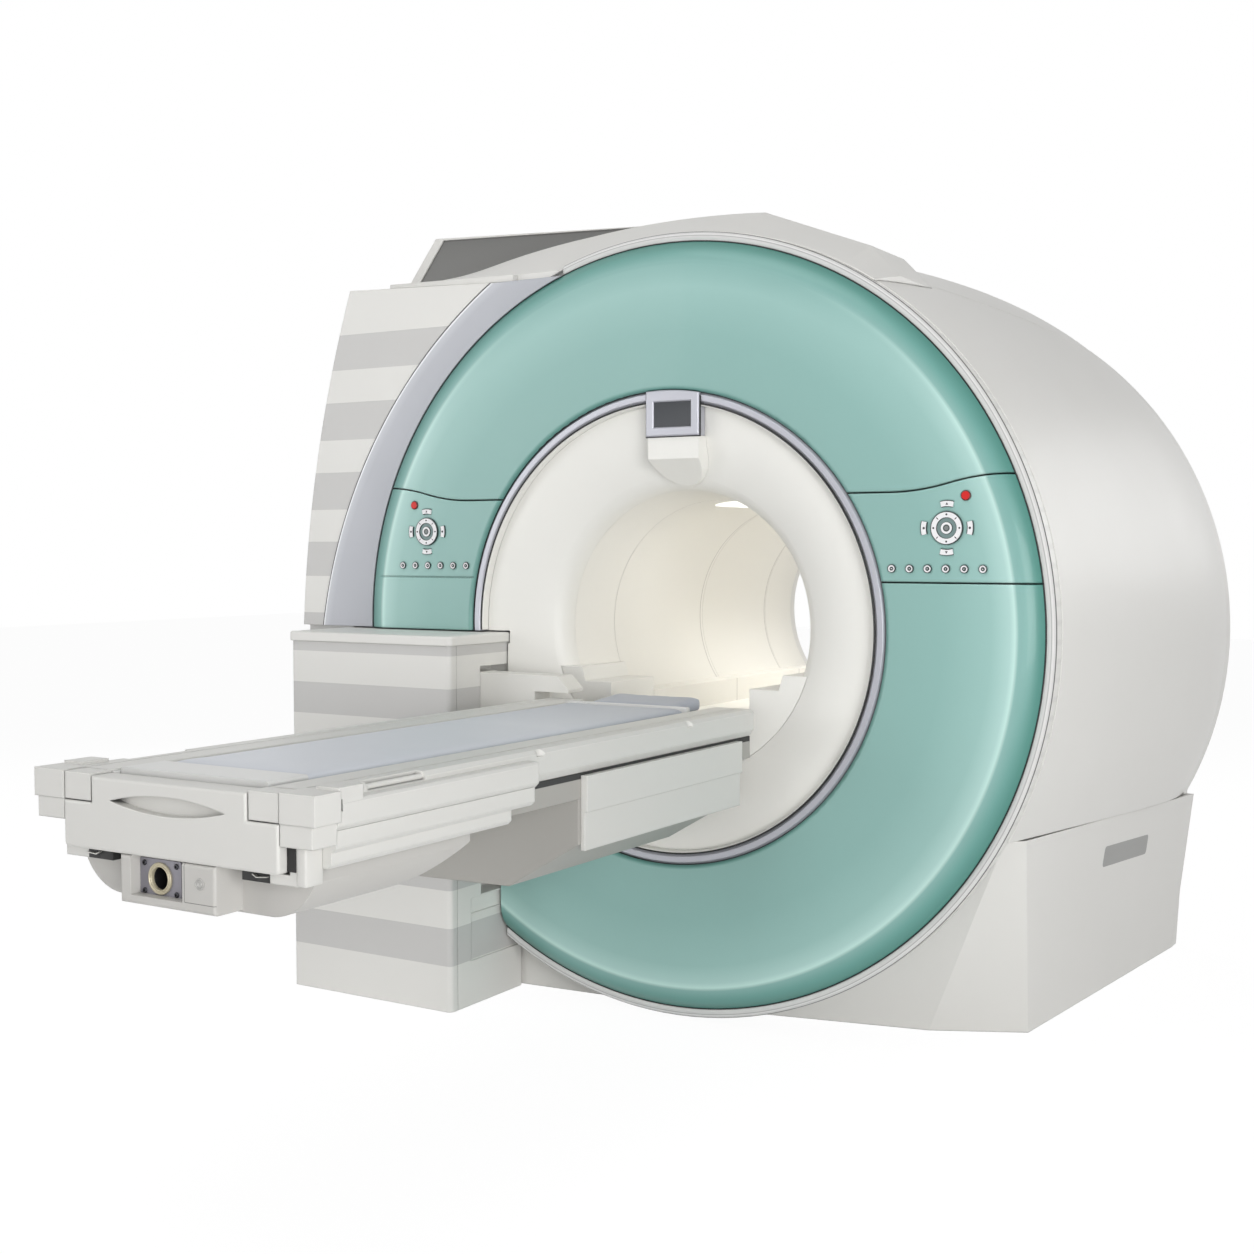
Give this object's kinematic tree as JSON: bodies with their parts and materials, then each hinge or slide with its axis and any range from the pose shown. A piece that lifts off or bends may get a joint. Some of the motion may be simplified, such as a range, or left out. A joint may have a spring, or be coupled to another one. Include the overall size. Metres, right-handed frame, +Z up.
{
  "type": "mri scanner",
  "caption": "Closed-bore magnetic resonance scanner: a round flared magnet housing with hood and side column, and a lifting table with a sliding padded top that runs into the bore.",
  "frame": {"origin": "on the floor, straight under the bore axis, in the plane of the front ring's rim", "axes": "+X to the right seen from the patient end, +Y along the bore into the magnet, +Z up"},
  "size_m": [2.4496, 3.401, 2.272],
  "materials": {
    "floor_steel": "satin",
    "vessel_metal": "satin",
    "bore_cream": "satin",
    "funnel_cream": "satin",
    "ring_teal": "satin",
    "silver_trim": "satin",
    "cover_white": "satin",
    "table_white": "satin",
    "table_metal": "satin",
    "tabletop_white": "satin",
    "mattress_vinyl": "matte",
    "key_grey": "satin",
    "stop_red": "satin"
  },
  "bodies": {
    "magnet": {"floor_plate": "floor_steel", "magnet_vessel": "vessel_metal", "bore_liner": "bore_cream", "bore_funnel": "funnel_cream", "docking_trough": "funnel_cream", "bore_deck": "bore_cream", "ring_cover_upper": "ring_teal", "ring_cover_lower": "ring_teal", "inner_trim": "silver_trim", "outer_trim": "silver_trim", "band_left": "silver_trim", "side_panel_left": "cover_white", "side_case_left": "cover_white", "service_turret": "cover_white", "barrel_cover_left": "cover_white", "barrel_cover_right": "cover_white", "skirt_right": "cover_white", "skirt_left": "cover_white", "control_panel_right": "ring_teal", "control_panel_left": "ring_teal", "top_cover": "cover_white", "rear_cover": "cover_white", "hood": "cover_white", "display_bezel": "silver_trim", "display_pod": "funnel_cream", "column": "cover_white", "column_cap": "cover_white"},
    "table": {"table_frame": "table_metal", "end_cover": "table_white", "lift_arm": "table_metal", "arm_cover": "table_white", "connector_box": "table_white", "side_rail_right": "table_white", "side_rail_left": "table_white"},
    "tabletop": {"tabletop": "tabletop_white", "mattress": "mattress_vinyl"},
    "right_dial_body": {"right_dial": "key_grey"},
    "right_stop_key_body": {"right_stop_key": "stop_red"},
    "right_up_key_body": {"right_up_key": "key_grey"},
    "right_down_key_body": {"right_down_key": "key_grey"},
    "right_inner_key_body": {"right_inner_key": "key_grey"},
    "right_outer_key_body": {"right_outer_key": "key_grey"},
    "right_small_1_key_body": {"right_small_1_key": "key_grey"},
    "right_small_2_key_body": {"right_small_2_key": "key_grey"},
    "right_small_3_key_body": {"right_small_3_key": "key_grey"},
    "right_small_4_key_body": {"right_small_4_key": "key_grey"},
    "right_small_5_key_body": {"right_small_5_key": "key_grey"},
    "right_small_6_key_body": {"right_small_6_key": "key_grey"},
    "left_dial_body": {"left_dial": "key_grey"},
    "left_stop_key_body": {"left_stop_key": "stop_red"},
    "left_up_key_body": {"left_up_key": "key_grey"},
    "left_down_key_body": {"left_down_key": "key_grey"},
    "left_inner_key_body": {"left_inner_key": "key_grey"},
    "left_outer_key_body": {"left_outer_key": "key_grey"},
    "left_small_1_key_body": {"left_small_1_key": "key_grey"},
    "left_small_2_key_body": {"left_small_2_key": "key_grey"},
    "left_small_3_key_body": {"left_small_3_key": "key_grey"},
    "left_small_4_key_body": {"left_small_4_key": "key_grey"},
    "left_small_5_key_body": {"left_small_5_key": "key_grey"},
    "left_small_6_key_body": {"left_small_6_key": "key_grey"}
  },
  "joints": [
    {"name": "table_lift", "type": "slide", "parent": "magnet", "child": "table", "axis": [0, 0, 1], "range_m": [-0.4, 0]},
    {"name": "tabletop_slide", "type": "slide", "parent": "table", "child": "tabletop", "axis": [0, 1, 0], "range_m": [0, 1.6]},
    {"name": "right_dial_turn", "type": "hinge", "parent": "magnet", "child": "right_dial_body", "pos_m": [0.788, -0.034, 1.322], "axis": [0, 1, 0], "range_deg": [-150, 150]},
    {"name": "right_stop_key_press", "type": "slide", "parent": "magnet", "child": "right_stop_key_body", "axis": [0, 1, 0], "range_m": [0, 0.003], "stiffness_N_per_m": 800, "springref_m": -0.002},
    {"name": "right_up_key_press", "type": "slide", "parent": "magnet", "child": "right_up_key_body", "axis": [0, 1, 0], "range_m": [0, 0.002], "stiffness_N_per_m": 800, "springref_m": -0.002},
    {"name": "right_down_key_press", "type": "slide", "parent": "magnet", "child": "right_down_key_body", "axis": [0, 1, 0], "range_m": [0, 0.002], "stiffness_N_per_m": 800, "springref_m": -0.002},
    {"name": "right_inner_key_press", "type": "slide", "parent": "magnet", "child": "right_inner_key_body", "axis": [0, 1, 0], "range_m": [0, 0.002], "stiffness_N_per_m": 800, "springref_m": -0.002},
    {"name": "right_outer_key_press", "type": "slide", "parent": "magnet", "child": "right_outer_key_body", "axis": [0, 1, 0], "range_m": [0, 0.002], "stiffness_N_per_m": 800, "springref_m": -0.002},
    {"name": "right_small_1_key_press", "type": "slide", "parent": "magnet", "child": "right_small_1_key_body", "axis": [0, 1, 0], "range_m": [0, 0.002], "stiffness_N_per_m": 800, "springref_m": -0.002},
    {"name": "right_small_2_key_press", "type": "slide", "parent": "magnet", "child": "right_small_2_key_body", "axis": [0, 1, 0], "range_m": [0, 0.002], "stiffness_N_per_m": 800, "springref_m": -0.002},
    {"name": "right_small_3_key_press", "type": "slide", "parent": "magnet", "child": "right_small_3_key_body", "axis": [0, 1, 0], "range_m": [0, 0.002], "stiffness_N_per_m": 800, "springref_m": -0.002},
    {"name": "right_small_4_key_press", "type": "slide", "parent": "magnet", "child": "right_small_4_key_body", "axis": [0, 1, 0], "range_m": [0, 0.002], "stiffness_N_per_m": 800, "springref_m": -0.002},
    {"name": "right_small_5_key_press", "type": "slide", "parent": "magnet", "child": "right_small_5_key_body", "axis": [0, 1, 0], "range_m": [0, 0.002], "stiffness_N_per_m": 800, "springref_m": -0.002},
    {"name": "right_small_6_key_press", "type": "slide", "parent": "magnet", "child": "right_small_6_key_body", "axis": [0, 1, 0], "range_m": [0, 0.002], "stiffness_N_per_m": 800, "springref_m": -0.002},
    {"name": "left_dial_turn", "type": "hinge", "parent": "magnet", "child": "left_dial_body", "pos_m": [-0.788, -0.034, 1.322], "axis": [0, 1, 0], "range_deg": [-150, 150]},
    {"name": "left_stop_key_press", "type": "slide", "parent": "magnet", "child": "left_stop_key_body", "axis": [0, 1, 0], "range_m": [0, 0.003], "stiffness_N_per_m": 800, "springref_m": -0.002},
    {"name": "left_up_key_press", "type": "slide", "parent": "magnet", "child": "left_up_key_body", "axis": [0, 1, 0], "range_m": [0, 0.002], "stiffness_N_per_m": 800, "springref_m": -0.002},
    {"name": "left_down_key_press", "type": "slide", "parent": "magnet", "child": "left_down_key_body", "axis": [0, 1, 0], "range_m": [0, 0.002], "stiffness_N_per_m": 800, "springref_m": -0.002},
    {"name": "left_inner_key_press", "type": "slide", "parent": "magnet", "child": "left_inner_key_body", "axis": [0, 1, 0], "range_m": [0, 0.002], "stiffness_N_per_m": 800, "springref_m": -0.002},
    {"name": "left_outer_key_press", "type": "slide", "parent": "magnet", "child": "left_outer_key_body", "axis": [0, 1, 0], "range_m": [0, 0.002], "stiffness_N_per_m": 800, "springref_m": -0.002},
    {"name": "left_small_1_key_press", "type": "slide", "parent": "magnet", "child": "left_small_1_key_body", "axis": [0, 1, 0], "range_m": [0, 0.002], "stiffness_N_per_m": 800, "springref_m": -0.002},
    {"name": "left_small_2_key_press", "type": "slide", "parent": "magnet", "child": "left_small_2_key_body", "axis": [0, 1, 0], "range_m": [0, 0.002], "stiffness_N_per_m": 800, "springref_m": -0.002},
    {"name": "left_small_3_key_press", "type": "slide", "parent": "magnet", "child": "left_small_3_key_body", "axis": [0, 1, 0], "range_m": [0, 0.002], "stiffness_N_per_m": 800, "springref_m": -0.002},
    {"name": "left_small_4_key_press", "type": "slide", "parent": "magnet", "child": "left_small_4_key_body", "axis": [0, 1, 0], "range_m": [0, 0.002], "stiffness_N_per_m": 800, "springref_m": -0.002},
    {"name": "left_small_5_key_press", "type": "slide", "parent": "magnet", "child": "left_small_5_key_body", "axis": [0, 1, 0], "range_m": [0, 0.002], "stiffness_N_per_m": 800, "springref_m": -0.002},
    {"name": "left_small_6_key_press", "type": "slide", "parent": "magnet", "child": "left_small_6_key_body", "axis": [0, 1, 0], "range_m": [0, 0.002], "stiffness_N_per_m": 800, "springref_m": -0.002}
  ]
}
